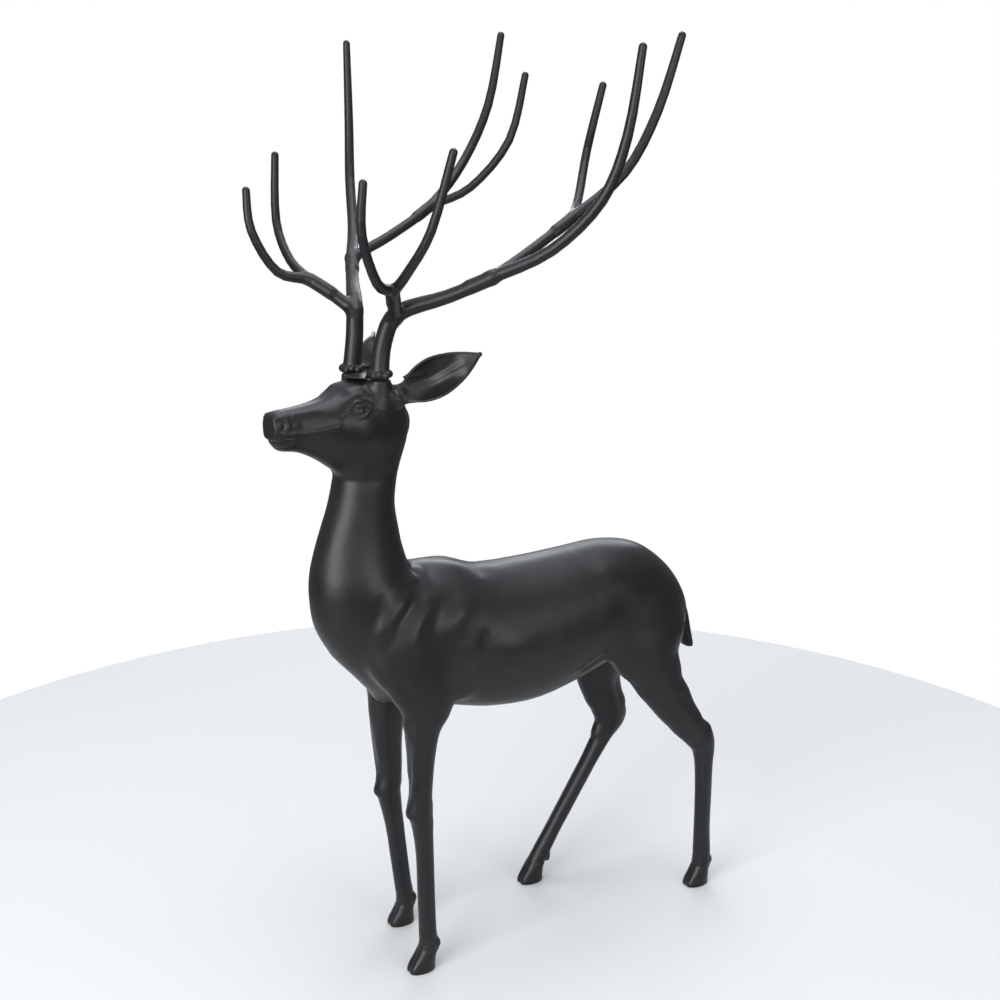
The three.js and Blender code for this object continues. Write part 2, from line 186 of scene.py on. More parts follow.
# How wide the fillet is where a form joins the ones before it.
BLENDS = {
    "neck": 6.0, "head": 10.0, "leg": 9.0, "toe": 4.6, "dewclaw": 3.0, "tail": 1.6, "muzzle": 4.0,
    "eyeball": 0.8, "upper lid": 1.6, "lower lid": 1.8, "ear base": 8.0, "ear": 5.0, "stump": 8.0,
    "branch": 5.0, "knob": 1.0,
}

# The paint: its darkest and palest colour, and its smoothest and roughest sheen.
PAINT_COLOURS = ((0.0062, 0.0059, 0.0066), (0.0112, 0.0106, 0.0116))
PAINT_ROUGHNESS = (0.33, 0.43)

# The stage, in metres and watts.
FLOOR_RADIUS = 1.1
FLOOR_COLOUR = (0.46, 0.46, 0.46)
ROOM_SHADES = [(0.0, (0.20, 0.20, 0.21)), (0.35, (0.30, 0.30, 0.32)), (0.9, (0.9, 0.93, 1.0))]
# Each light: [place, target, size, power, colour].
LIGHTS = {
    "overhead": [(-0.2, 0.0, 3.0), (0, 0, 0.5), (2.6, 2.0), 64, (0.93, 0.97, 1.0)],
    "left_window": [(2.6, 1.2, 1.3), (0, 0, 0.6), (1.7, 2.4), 125, (0.95, 1.0, 0.99)],
    "camera_fill": [(1.2, 2.7, 1.5), (0, 0, 0.5), (3.2, 2.2), 35, (0.97, 0.98, 1.0)],
    "front_fill": [(-0.9, 3.2, 1.1), (0, 0, 0.4), (1.6, 1.0), 30, (0.97, 1.0, 1.0)],
    "back_rim": [(-1.6, -2.2, 1.9), (0, 0, 0.6), (2.2, 1.2), 40, (0.9, 0.95, 1.0)],
}
CAMERA_PLACE = (0.8438, 1.4989, 1.0399)
CAMERA_HEADING = (-0.5005, -0.8657)
CAMERA_PITCH = math.radians(15.67)
SENSOR_WIDTH = 36.0       # in millimetres
FOCAL_PIXELS = 1460
IMAGE_PIXELS = 1000


# Curves and small helpers.

def smooth(rows, steps=12):
    """The rows of a table and `steps` - 1 more between each two, on a smooth curve through them."""
    rows = np.array(rows, float)
    ends = np.vstack([rows[:1], rows, rows[-1:]])
    part = (np.arange(steps) / steps)[:, None]
    pieces = []
    for before, start, end, after in zip(ends, ends[1:], ends[2:], ends[3:]):
        slope_in, slope_out = (end - before) / 2, (after - start) / 2
        cubic = 2 * (start - end) + slope_in + slope_out
        square = -3 * (start - end) - 2 * slope_in - slope_out
        pieces.append(((cubic * part + square) * part + slope_in) * part + start)
    return np.vstack([*pieces, rows[-1:]])


def on_side(values, side):
    """A point of the left side, or its mirror image for side -1."""
    return np.array([values[0], side * values[1], *values[2:]], float)


def within(points, low, high, margin):
    """The numbers of the points inside a box that is grown by a margin."""
    return np.flatnonzero(np.all((points > low - margin) & (points < high + margin), axis=1))


def smooth_union(first, second, blend):
    """The distance to two forms joined with a fillet about `blend` wide."""
    mix = np.clip(0.5 + 0.5 * (second - first) / blend, 0, 1)
    return second + (first - second) * mix - blend * mix * (1 - mix)


def head_axes(points):
    """Points of the stag's axes, in the head's own."""
    cos, sin = math.cos(HEAD_TURN), math.sin(HEAD_TURN)
    return (points - HEAD_PLACE) @ np.array([[cos, -sin, 0], [sin, cos, 0], [0, 0, 1]])


def from_head(points):
    """Points of the head's axes, in the stag's."""
    cos, sin = math.cos(HEAD_TURN), math.sin(HEAD_TURN)
    return np.array(points, float) @ np.array([[cos, sin, 0], [-sin, cos, 0], [0, 0, 1]]) + HEAD_PLACE


def slopes(field, points, step=0.15):
    """The field's value and gradient at points."""
    corners = np.array([[1, -1, -1], [-1, -1, 1], [-1, 1, -1], [1, 1, 1]]) * step
    values = [field(points + corner) for corner in corners]
    grade = sum(value[:, None] * corner for value, corner in zip(values, corners)) / (4 * step * step)
    return sum(values) / 4, grade


def drawn_onto(field, points, longest=3.0, rounds=1):
    """The points moved onto the field's skin, each step no longer than `longest`."""
    for _ in range(rounds):
        value, grade = slopes(field, points)
        shift = -(value / np.maximum((grade ** 2).sum(1), 0.2))[:, None] * grade
        size = np.sqrt((shift ** 2).sum(1))
        points = points + shift * np.minimum(1, longest / np.maximum(size, 1e-9))[:, None]
    return points


# The forms. Each has the box that holds it, and gives the distance of points to its skin.

class Loft:
    """Oval sections across an upright or level axis: rows of [place, high, low, half width, middle]."""

    STEP = 0.5

    def __init__(self, rows, along, caps, narrowing=0.0):
        self.along, self.across = along, 2 - along
        self.caps, self.narrowing = caps, narrowing
        rows = rows[np.argsort(rows[:, 0])]
        self.start, self.end = rows[0, 0], rows[-1, 0]
        place = np.arange(self.start, self.end + self.STEP, self.STEP)
        high, low, wide, middle = [np.interp(place, rows[:, 0], column) for column in rows.T[1:5]]
        values = np.stack([(high + low) / 2, (high - low) / 2, wide, middle], 1)
        self.table = np.hstack([values, np.gradient(values, self.STEP, axis=0)])
        self.low, self.high = np.empty(3), np.empty(3)
        self.low[along], self.high[along] = self.start - caps[0], self.end + caps[1]
        self.low[2 - along], self.high[2 - along] = low.min(), high.max()
        self.low[1], self.high[1] = (middle - wide).min(), (middle + wide).max()

    def __call__(self, points):
        place = points[:, self.along]
        number = np.clip((place - self.start) / self.STEP, 0, len(self.table) - 1.001)
        whole = number.astype(int)
        part = (number - whole)[:, None]
        row = self.table[whole] * (1 - part) + self.table[whole + 1] * part
        centre, tall, wide, middle, centre_slope, tall_slope, wide_slope, middle_slope = row.T
        cap = np.where(place < self.start, self.caps[0], self.caps[1])
        over = (place - np.clip(place, self.start, self.end)) / cap
        up = (points[:, self.across] - centre) / tall
        taper = 1 + self.narrowing * np.clip(up, -1, 1)
        aside = (points[:, 1] - middle) / (wide * taper)
        reach = np.sqrt(up * up + aside * aside + over * over) + 1e-9
        grade_up = (up - aside * aside * self.narrowing / taper) / tall
        grade_aside = aside / (wide * taper)
        grade_along = over / cap - up * (up * tall_slope + centre_slope) / tall
        grade_along -= aside * (aside * wide_slope * taper + middle_slope) / (wide * taper)
        grade = np.sqrt(grade_up ** 2 + grade_aside ** 2 + grade_along ** 2) / reach
        return (reach - 1) / (grade + 1e-6)


class Rod:
    """A round rod along a smooth path: rows of [x, y, z, radius]."""

    def __init__(self, rows, steps=4):
        self.rows = smooth(rows, steps)
        spread = self.rows[:, 3:]
        self.low = (self.rows[:, :3] - spread).min(0)
        self.high = (self.rows[:, :3] + spread).max(0)

    def __call__(self, points):
        distance = np.full(len(points), FAR)
        for start, end in zip(self.rows, self.rows[1:]):
            low = np.minimum(start[:3], end[:3])
            high = np.maximum(start[:3], end[:3])
            near = within(points, low, high, REACH + start[3])
            axis = end[:3] - start[:3]
            gap = points[near] - start[:3]
            share = np.clip(gap @ axis / (axis @ axis), 0, 1)
            radius = start[3] + share * (end[3] - start[3])
            gap -= share[:, None] * axis
            distance[near] = np.minimum(distance[near], np.sqrt((gap * gap).sum(1)) - radius)
        return distance


class Ball:
    """An ellipsoid, straight in its axes or in axes of its own, one a row."""

    def __init__(self, centre, radii, axes=None):
        self.centre, self.radii = np.array(centre, float), np.array(radii, float)
        self.axes = np.eye(3) if axes is None else np.array(axes)
        reach = np.abs(self.axes.T) @ self.radii
        self.low, self.high = self.centre - reach, self.centre + reach

    def __call__(self, points):
        scaled = (points - self.centre) @ self.axes.T / self.radii
        reach = np.sqrt((scaled * scaled).sum(1)) + 1e-9
        grade = np.sqrt(((scaled / self.radii) ** 2).sum(1)) / reach
        return (reach - 1) / (grade + 1e-6)


class Block:
    """A box with rounded edges."""

    def __init__(self, centre, half, rounding):
        self.centre, self.half = np.array(centre, float), np.array(half, float)
        self.rounding = rounding
        self.low, self.high = self.centre - self.half, self.centre + self.half

    def __call__(self, points):
        gap = np.abs(points - self.centre) - self.half + self.rounding
        outside = np.sqrt((np.maximum(gap, 0) ** 2).sum(1))
        return outside + np.minimum(gap.max(1), 0) - self.rounding


class Leaf:
    """An ear: a leaf from root to tip, dished on the side that it faces."""

    def __init__(self, side):
        self.root = on_side(EAR_ROOT, side)
        tip = on_side(EAR_TIP, side)
        self.length = np.linalg.norm(tip - self.root)
        self.along = (tip - self.root) / self.length
        out = on_side(EAR_FACING, side)
        out -= self.along * (out @ self.along)
        self.out = out / np.linalg.norm(out)
        self.across = np.cross(self.along, self.out) * side
        self.rows = smooth(EAR, 24)
        ends = np.array([self.root, tip])
        self.low, self.high = ends.min(0) - 24, ends.max(0) + 24

    def place(self, share, aside, lift=0.0):
        """The point on the leaf's face at a share of its length and of its half width."""
        wide, thick = [np.interp(share, self.rows[:, 0], column) for column in self.rows.T[1:]]
        dish = self.dish(share, wide) * (aside * aside - 0.5)
        return self.root + self.along * share * self.length + self.across * aside * wide \
            + self.out * (dish + lift * thick)

    @staticmethod
    def dish(share, wide):
        return wide * EAR_HOLLOW * np.sin(np.pi * np.clip(share * 1.2, 0, 1))

    def form(self, points):
        gap = points - self.root
        share = gap @ self.along / self.length
        inside = np.clip(share, 0, 1)
        wide = np.interp(inside, self.rows[:, 0], self.rows[:, 1])
        thick = np.interp(inside, self.rows[:, 0], self.rows[:, 2])
        aside = gap @ self.across / wide
        lift = (gap @ self.out - self.dish(inside, wide) * (aside * aside - 0.5)) / thick
        over = (share - inside) * self.length / 3
        return np.sqrt(aside ** 4 + lift ** 2 + over ** 2 + 1e-9)

    def __call__(self, points):
        value = self.form(points)
        steps = np.eye(3) * 0.3
        grade = np.stack([self.form(points + step) - value for step in steps], 1) / 0.3
        return (value - 1) / (np.sqrt((grade ** 2).sum(1)) + 1e-3)


class Mark:
    """A soft ridge, or a groove where the height is below zero, along a line of points."""

    def __init__(self, line, width, height, fade=0.25):
        self.line = smooth(line, 4)
        self.width, self.height, self.fade = width, height, fade

    def draw_onto(self, skin):
        self.line = drawn_onto(skin, self.line, rounds=5)
        self.low, self.high = self.line.min(0), self.line.max(0)
        steps = np.sqrt((np.diff(self.line, axis=0) ** 2).sum(1))
        self.travel = np.concatenate([[0], np.cumsum(steps)]) / steps.sum()

    def press(self, distance, points):
        near = within(points, self.low, self.high, 2.5 * self.width)
        if not near.size:
            return
        best, travel = np.full(near.size, np.inf), np.zeros(near.size)
        for number, (start, end) in enumerate(zip(self.line, self.line[1:])):
            axis = end - start
            gap = points[near] - start
            share = np.clip(gap @ axis / (axis @ axis), 0, 1)
            gap -= share[:, None] * axis
            square = (gap * gap).sum(1)
            closer = square < best
            best[closer] = square[closer]
            step = self.travel[number + 1] - self.travel[number]
            travel[closer] = (self.travel[number] + share * step)[closer]
        full = np.ones(near.size)
        if self.fade:
            full = np.clip(np.minimum(travel, 1 - travel) / self.fade, 0, 1)
            full = full * full * (3 - 2 * full)
        distance[near] -= self.height * full * np.exp(-best / self.width ** 2)


class Swell:
    """A soft boss, or a hollow where the height is below zero."""

    def __init__(self, centre, radii, height):
        self.centre, self.radii = np.array(centre, float), np.array(radii, float)
        self.height = height

    def draw_onto(self, skin):
        self.centre = drawn_onto(skin, self.centre[None], rounds=5)[0]
        self.low, self.high = self.centre - 2.2 * self.radii, self.centre + 2.2 * self.radii

    def press(self, distance, points):
        near = within(points, self.low, self.high, 0)
        if near.size:
            square = (((points[near] - self.centre) / self.radii) ** 2).sum(1)
            distance[near] -= self.height * np.exp(-square)


class Carving:
    """Forms joined one after another, each with its own fillet, and then marks pressed into them."""

    def __init__(self, forms, marks=(), cuts=(), floor=None):
        self.forms, self.marks, self.cuts, self.floor = forms, marks, cuts, floor
        self.low = np.min([form.low for form, _ in forms], axis=0)
        self.high = np.max([form.high for form, _ in forms], axis=0)
        for mark in marks:
            mark.draw_onto(self.skin)

    def skin(self, points):
        distance = np.full(len(points), FAR)
        for form, blend in self.forms:
            near = within(points, form.low, form.high, REACH)
            if near.size:
                distance[near] = smooth_union(distance[near], form(points[near]), blend)
        return distance

    def __call__(self, points):
        distance = self.skin(points)
        for mark in self.marks:
            mark.press(distance, points)
        for cut in self.cuts:
            near = within(points, cut.low, cut.high, 4)
            distance[near] = np.maximum(distance[near], -cut(points[near]))
        if self.floor is not None:
            distance = np.maximum(distance, self.floor - points[:, 2])
        return distance


class Turned:
    """A carving that is given in the head's axes."""

    def __init__(self, carving):
        self.carving = carving
        low, high = carving.low, carving.high
        corners = [[x, y, z] for x in (low[0], high[0]) for y in (low[1], high[1]) for z in (low[2], high[2])]
        placed = from_head(corners)
        self.low, self.high = placed.min(0), placed.max(0)

    def __call__(self, points):
        return self.carving(head_axes(points))


def upright(rows, caps, narrowing=0.0):
    """A loft along the x axis of upright sections: [x, top, bottom, half width]."""
    rows = smooth(rows)
    return Loft(np.hstack([rows, np.zeros((len(rows), 1))]), 0, caps, narrowing)


def level(rows, x=0.0, y=0.0, caps=(10, 10)):
    """A loft along the z axis of level sections about a place: [z, front, back, half width]."""
    rows = smooth(rows)
    shift = np.array([0, x, x, 0])
    return Loft(np.hstack([rows + shift, np.full((len(rows), 1), y)]), 2, caps)


def limb(rows, caps=(8, 6)):
    """A limb down a path, as level sections: [x, y, z, half depth, half width] square to the path."""
    x, y, z, deep, wide = smooth(rows).T
    slope = np.gradient(x, z)
    longer = deep * np.sqrt(1 + slope ** 2)
    return Loft(np.stack([z, x + longer, x - longer, wide, y], 1), 2, caps)


def on_leg(name, z, angle):
    """A point on a leg's skin at a height; 0 degrees is the front and 90 its outer side."""
    side = 1 if name.startswith("left") else -1
    x, y, _, deep, wide = leg_section(name, z)
    turn = math.radians(angle)
    return [x + deep * math.cos(turn), y + side * wide * math.sin(turn), z]


def leg_section(name, z):
    rows = smooth(LEGS[name])[::-1]
    return [np.interp(z, rows[:, 2], column) for column in rows.T]


def side_marks(side, rows):
    """Marks on one side, from rows for the left: a line, its width, its height and, for some, its fade."""
    return [Mark([on_side(point, side) for point in line], *rest) for line, *rest in rows]


def side_swells(side, rows):
    """Swells on one side, from rows for the left: a centre, its radii and its height."""
    return [Swell(on_side(centre, side), radii, height) for centre, radii, height in rows]


def leg_lines(name, rows):
    """Marks on a leg, from rows: a line as [height, angle], its width, its height and, for some, its fade."""
    return [Mark([on_leg(name, *place) for place in line], *rest) for line, *rest in rows]


def leg_swells(name, rows):
    """Swells on a leg, from rows: a place as (height, angle), its radii and its height."""
    return [Swell(on_leg(name, *place), radii, height) for place, radii, height in rows]


# The head.

def eye_axes(side):
    """The eye's own axes: along its opening to the front, out of the head, and up."""
    out = np.array(EYE_LOOK) / np.linalg.norm(EYE_LOOK)
    along = np.cross(out, [0, 0, 1])
    along /= np.linalg.norm(along)
    return np.array([on_side(axis, side) for axis in (along, out, np.cross(along, out))])


def on_eye(side, along, up, lift=0.0):
    """A point on the eyeball, or on a shell `lift` outside it."""
    high = math.sqrt(max(0.08, 1 - (along / (EYE_RADII[0] + 2)) ** 2 - (up / (EYE_RADII[2] + 2)) ** 2))
    return on_side(EYE_PLACE, side) + np.array([along, EYE_RADII[1] * high + lift, up]) @ eye_axes(side)


def lid(side, rise, lift=0.0, wide=12.5):
    """Points of a lid from the eye's front corner to its back one."""
    shares = (1, 0.8, 0.4, 0, -0.4, -0.8, -1)
    return [on_eye(side, wide * share, rise * (1 - share ** 2) ** 0.8 - share, lift) for share in shares]


def eye_forms(side):
    """The eyeball and the two lids round it."""
    swell = (0, 0.5, 0.9, 1, 0.9, 0.5, 0)
    upper = [[*point, 1.1 + 0.7 * more] for point, more in zip(lid(side, 8.4, 0.3), swell)]
    lower = [[*point, 1.0 + 0.4 * more] for point, more in zip(lid(side, -7.4), swell)]
    ball = Ball(on_side(EYE_PLACE, side), EYE_RADII, eye_axes(side))
    return [(ball, BLENDS["eyeball"]), (Rod(upper), BLENDS["upper lid"]), (Rod(lower), BLENDS["lower lid"])]


def eye_marks(side):
    """The iris, the lids' edges and the folds round the eye."""
    turns = np.linspace(0, 2 * math.pi, 17)
    iris = [on_eye(side, IRIS * math.cos(turn) + 0.6, IRIS * math.sin(turn)) for turn in turns]
    folds = side_marks(side, [
        # The crease over the upper lid, and the brow above it.
        ([[47, 26, -32], [42, 28, -23], [32, 29, -18.5], [22, 30, -20], [14, 32, -27]], 1.5, -1.4),
        ([[51, 23, -27], [44, 25, -18], [33, 27, -13.5], [22, 28, -15], [12, 31, -23]], 3.4, 1.4),
        # The eye's front corner and the fold below it.
        ([[43, 27, -33], [47, 26, -35], [51, 25, -38]], 1.3, -1.1),
        ([[48, 26, -40], [53, 24, -44]], 1.8, 0.7),
        # The crease behind the eye.
        ([[14, 32.5, -32], [9, 34, -36], [4, 35, -39]], 1.4, -0.8),
    ])
    return [Mark(iris, 0.9, -1.0, 0), Mark(lid(side, 6.0, 0, 11), 0.9, -1.1),
            Mark(lid(side, -5.6, 0, 11), 0.9, -0.8), *folds]


def muzzle_marks(side):
    """The nostril, the lips, the mouth and the nasal bone."""
    return side_marks(side, [
        # The nostril is a comma with a rolled rim.
        ([[117.5, 10, -35], [114, 13, -33.5], [110.5, 14.8, -36], [110.5, 15.6, -40.5],
              [114, 14.6, -42.5]], 1.5, -2.8, 0.1),
        ([[117, 8.5, -30.5], [111, 12.5, -29.5], [106, 15.2, -34], [106, 16.4, -41],
              [110, 16, -46]], 2.0, 1.3),
        # The upper lip's border runs from the nostril back to the cheek.
        ([[117, 12, -46], [110, 15, -47.5], [98, 16.5, -48], [86, 18, -48.5], [74, 21, -48],
              [62, 24.5, -46.5], [50, 28.5, -45]], 2.2, 1.5, 0.15),
        ([[116, 13, -50], [104, 16, -51.5], [92, 17.5, -52.5], [80, 19.5, -51.5]], 1.5, -1.0),
        ([[116, 11.5, -53], [104, 15.5, -54.2], [92, 17.5, -55.5]], 1.7, 1.2),
        # The mouth and the folds at its corner.
        ([[119.8, 0, -55.5], [116.5, 8.5, -55.8], [107, 13.8, -57], [97, 16, -57.5], [88, 17.6, -59],
              [82, 19, -61]], 1.1, -1.9, 0.12),
        ([[98, 17, -54.8], [91, 18, -57], [86, 18.6, -60.5]], 1.1, -0.9),
        ([[117, 7, -59.5], [106, 13, -60.5], [94, 16, -62.5]], 1.9, 0.8),
        ([[79, 20.5, -51], [76.5, 20, -57], [77, 17, -64]], 3.0, -1.0),
        # The nasal bone's edge, above the flat side of the face.
        ([[104, 11, -28], [84, 12.5, -28], [64, 15.5, -26]], 3.6, 0.7),
        ([[98, 16.5, -39], [80, 19.5, -38], [62, 23.5, -36]], 6.0, -0.8),
    ])


def skull_marks(side):
    """The brow, the cheek and the folds between the ear and the antler."""
    swells = side_swells(side, [
        ((31, 17, -12), (9, 8, 6), 2.2),
        ((10, 30, -62), (26, 14, 18), 3.0),
    ])
    folds = side_marks(side, [
        ([[-12, 27, -14], [-15, 31, -20], [-17, 36, -27]], 1.8, -0.9),
        ([[-7, 30, -17], [-10, 33, -23], [-11, 37, -31]], 2.4, 0.9),
    ])
    return [*swells, *folds]


def pedicle(side):
    """The stump of bone that carries an antler."""
    ahead, outward = ANTLER_FOOT
    rows = [[ahead + 1, side * (outward - 4), -34, 15, 16], [ahead, side * (outward - 1), -20, 12, 12.6],
            [ahead, side * outward, -9, 11, 11], [ahead, side * outward, SEAT, 10.8, 10.8]]
    return limb(rows[::-1], (8, 0.6))


def seat_cut(side):
    """The room over the stump, which keeps it flat under the antler's ring."""
    ahead, outward = ANTLER_FOOT
    wide = BURR_RADIUS + 3.4
    rows = [[SEAT, ahead + wide, ahead - wide, wide], [SEAT + 14, ahead + wide, ahead - wide, wide]]
    return level(rows, 0, side * outward, (0.6, 6))


def ear_marks(leaf):
    """The rolled rim and the rib down the middle."""
    shares = [0.16, 0.28, 0.4, 0.55, 0.7, 0.83, 0.96]
    rims = [Mark([leaf.place(share, aside * 0.94, 0.5) for share in shares], 2.0, 1.2, 0.3)
            for aside in (-1, 1)]
    rib = [leaf.place(share, 0.05, 1) for share in [0.12, 0.3, 0.5, 0.7, 0.92]]
    return [*rims, Mark(rib, 2.6, 1.5, 0.3)]


def ear_base(side):
    """The rounded root that carries an ear."""
    return Ball(on_side((-17, 31, -22), side), (9, 9, 10))


def head_carving():
    muzzle = Block((109, 0, -41), (8.8, 11.5, 12.8), 5)
    forms = [(upright(HEAD, (9, 2), JAW_NARROWING), 1.0), (muzzle, BLENDS["muzzle"])]
    # The chin, the hollow of the nose and the groove under it.
    marks = [Swell((109, 0, -66), (9, 8, 4), 0.8), Swell((60, 0, -21), (16, 12, 7), -0.8),
             Mark([[119.5, 0, -47], [120, 0, -54]], 1.0, -0.7, 0.1)]
    for side in (-1, 1):
        leaf = Leaf(side)
        forms += [(ear_base(side), BLENDS["ear base"]), (leaf, BLENDS["ear"])]
        forms += [(pedicle(side), BLENDS["stump"]), *eye_forms(side)]
        marks += [*eye_marks(side), *muzzle_marks(side), *skull_marks(side), *ear_marks(leaf)]
    return Turned(Carving(forms, marks, [seat_cut(side) for side in (-1, 1)]))


# The body.

def flank_marks(side):
    """Muscles of the shoulder, the ribs and the haunch, and the folds of skin between them."""
    lines = side_marks(side, [
        # Three muscles that run down and forward over the shoulder.
        ([[8, 40, 442], [32, 50, 427], [45, 49, 410], [52, 47, 398], [55, 44, 386]], 9.5, 3.2, 0.35),
        ([[-23, 39, 437], [-3, 48, 424], [14, 56, 403], [23, 59, 386], [36, 59, 372]], 11.0, 4.2, 0.3),
        ([[-58, 43, 430], [-42, 53, 416], [-24, 58, 399], [-12, 58, 384]], 12.0, 3.0, 0.4),
        # The furrows along their front edges.
        ([[43, 46, 449], [50, 47, 437], [56, 47, 421], [60, 44, 406]], 5.0, -1.6, 0.4),
        ([[7, 41, 441], [24, 50, 422], [36, 53, 406], [43, 53, 391], [50, 52, 375]], 4.5, -1.6, 0.35),
        ([[-18, 42, 433], [1, 51, 415], [14, 58, 393], [17, 61, 378]], 5.0, -0.8, 0.4),
        # The edge of the foreleg against the breast.
        ([[38, 60, 366], [32, 62, 346], [24, 62, 328], [16, 63, 310]], 4.5, -2.6),
        # The back of the shoulder and the furrow between it and the ribs.
        ([[-38, 62, 388], [-40, 62, 366], [-36, 60, 344], [-28, 56, 324]], 14.0, 1.6, 0.35),
        ([[-63, 62, 396], [-63, 64, 374], [-58, 63, 352], [-52, 58, 332]], 6.0, -2.4),
        # The crease at the foot of the neck.
        ([[12, 16, 468], [3, 21, 460], [-2, 27, 450], [0, 35, 441]], 2.8, -1.8),
        ([[-6, 12, 461], [-9, 20, 457], [-12, 30, 448]], 3.0, 1.2),
        # The fold of skin that joins the belly to the thigh.
        ([[-184, 52, 312], [-199, 57, 321], [-213, 58, 329], [-226, 58, 334]], 2.4, 1.6),
        ([[-190, 52, 308], [-203, 55, 315], [-217, 56, 322], [-230, 56, 326]], 2.0, -2.2),
        ([[-192, 48, 303], [-206, 51, 309], [-224, 54, 313], [-242, 56, 306], [-256, 54, 294]], 2.6, 1.4),
        # The hollow behind the haunch.
        ([[-338, 44, 368], [-344, 44, 344], [-340, 46, 318]], 8.0, -1.2),
    ])
    swells = side_swells(side, [
        # The elbow and the ribs.
        ((-42, 50, 318), (13, 10, 15), 7.5),
        ((-100, 64, 360), (30, 12, 22), 4.0),
        # The withers, with a hollow before and behind.
        ((-14, 27, 452), (9, 9, 8), -2.6),
        ((-52, 16, 452), (18, 12, 8), 1.6),
        ((-84, 22, 442), (12, 14, 8), -1.4),
        # The hip and the hollow of the flank.
        ((-232, 44, 424), (14, 12, 10), 1.4),
        ((-240, 60, 372), (16, 12, 34), -1.6),
    ])
    return [*lines, *swells]


def trunk_marks():
    """The line of the back, the line of the breast and the rim where the jaw meets the neck."""
    jaw = [[-22, 33, -94], [-2, 33, -104], [18, 30, -107], [35, 16, -106], [40, 0, -104],
           [35, -16, -106], [18, -30, -107], [-2, -33, -104], [-22, -33, -94]]
    return [
        Mark([[20, 0, 466], [-40, 0, 458], [-120, 0, 442], [-230, 0, 442], [-300, 0, 430]], 5.0, -0.5),
        Mark([[86, 0, 372], [62, 0, 342], [36, 0, 322], [0, 0, 302]], 5.0, -1.2),
        Mark(from_head(jaw), 6.0, -1.0, 0.1),
    ]


def leg_marks(name):
    """Tendons, the knee or hock, the fetlock and the rim above the hoof."""
    around = range(0, 361, 30)
    lines = [([[23.5, angle] for angle in around], 1.8, -0.8, 0),
             ([[36, angle] for angle in around], 2.6, -0.3, 0)]
    for angle in (105, -105):
        lines.append(([[150, angle], [115, angle], [80, angle], [46, angle]], 2.6, -0.9))
        lines.append(([[140, angle - 45], [100, angle - 40], [60, angle - 40]], 3.0, 0.35))
    joint = knee_marks(name, KNEES[name]) if name in KNEES else hock_marks(name, *HOCKS[name])
    return [*leg_lines(name, lines), *joint]


def knee_marks(name, z):
    """The knob at the front of the knee, the ridge that runs down to it and the small bone behind."""
    lines = leg_lines(name, [
        ([[z + 106, 46], [z + 72, 42], [z + 36, 34], [z + 2, 20]], 3.0, 3.0),
        ([[z + 96, -38], [z + 60, -34], [z + 30, -28]], 3.0, 1.2),
        ([[z + 112, 66], [z + 72, 64], [z + 36, 60], [z + 12, 52]], 2.8, -2.8),
        ([[z + 90, 10], [z + 56, 8], [z + 24, 4]], 3.4, -1.2),
        ([[z + 10, 150], [z - 6, 158], [z - 30, 160]], 2.2, 0.9),
    ])
    swells = leg_swells(name, [
        ((z - 3, 4), (4.5, 5.5, 5), 2.3),
        ((z - 13, 0), (5, 7, 4), -1.2),
        ((z, 90), (6, 4, 8), 0.9),
        ((z, -90), (6, 4, 8), 0.9),
        ((z + 4, 180), (5, 6, 6), 1.6),
    ])
    return [*lines, *swells]


def hock_marks(name, point, base):
    """The point of the hock, the groove before its tendon, and the step down to the shank."""
    lines = leg_lines(name, [
        ([[point + 62, 120], [point + 36, 124], [point + 10, 128]], 3.6, -1.8),
        ([[point + 62, -120], [point + 36, -124], [point + 10, -128]], 3.6, -1.8),
        ([[base, angle] for angle in (-150, -100, -50, 0, 50, 100, 150)], 3.0, -0.9),
        ([[base - 14, 62], [90, 58], [42, 56]], 2.4, 0.8),
        ([[base - 14, 32], [90, 30], [46, 28]], 2.6, -0.6),
    ])
    swells = leg_swells(name, [
        ((point, 176), (6, 6, 6), 1.8),
        ((point + 14, 178), (5, 6, 4), -1.0),
        ((base + 12, 80), (7, 4, 7), 0.9),
        ((base + 12, -80), (7, 4, 7), 0.9),
    ])
    return [*lines, *swells]


def foot_forms(name):
    """Two toes side by side, and the two dewclaws behind the ankle."""
    x, y = HOOF_PLACES[name]
    behind, aside, up = DEWCLAW_PLACE
    ankle = leg_section(name, ANKLE)
    forms = []
    for side in (-1, 1):
        claw = (ankle[0] - behind, ankle[1] + side * aside, up)
        forms.append((level(TOE, x, y + side * TOE_APART, (1, 3)), BLENDS["toe"]))
        forms.append((Ball(claw, DEWCLAW_RADII), BLENDS["dewclaw"]))
    return forms


def cleft_marks(name):
    """The split between the toes, in front and a little behind."""
    x, y = HOOF_PLACES[name]
    front = [[x + 14, y, -3], [x + 14, y, 4], [x + 11.5, y, 11], [x + 7, y, 17], [x + 3.5, y, 21]]
    return [Mark(front, 1.1, -0.9, 0.12), Mark([[x - 15, y, -2], [x - 15, y, 8]], 1.5, -1.6)]


def deer_carving():
    names = list(LEGS)
    trunk, neck, tail = upright(TRUNK, (6, 6)), level(NECK, caps=(8, 8)), limb(TAIL, (2, 4))
    forms = [(trunk, 1.0), (neck, BLENDS["neck"]), (head_carving(), BLENDS["head"])]
    forms += [(limb(LEGS[name]), BLENDS["leg"]) for name in names]
    forms += [form for name in names for form in foot_forms(name)]
    forms.append((tail, BLENDS["tail"]))
    marks = trunk_marks()
    for side in (-1, 1):
        marks += flank_marks(side)
    for name in names:
        marks += [*leg_marks(name), *cleft_marks(name)]
    return Carving(forms, marks, floor=FLOOR)


# The antlers.

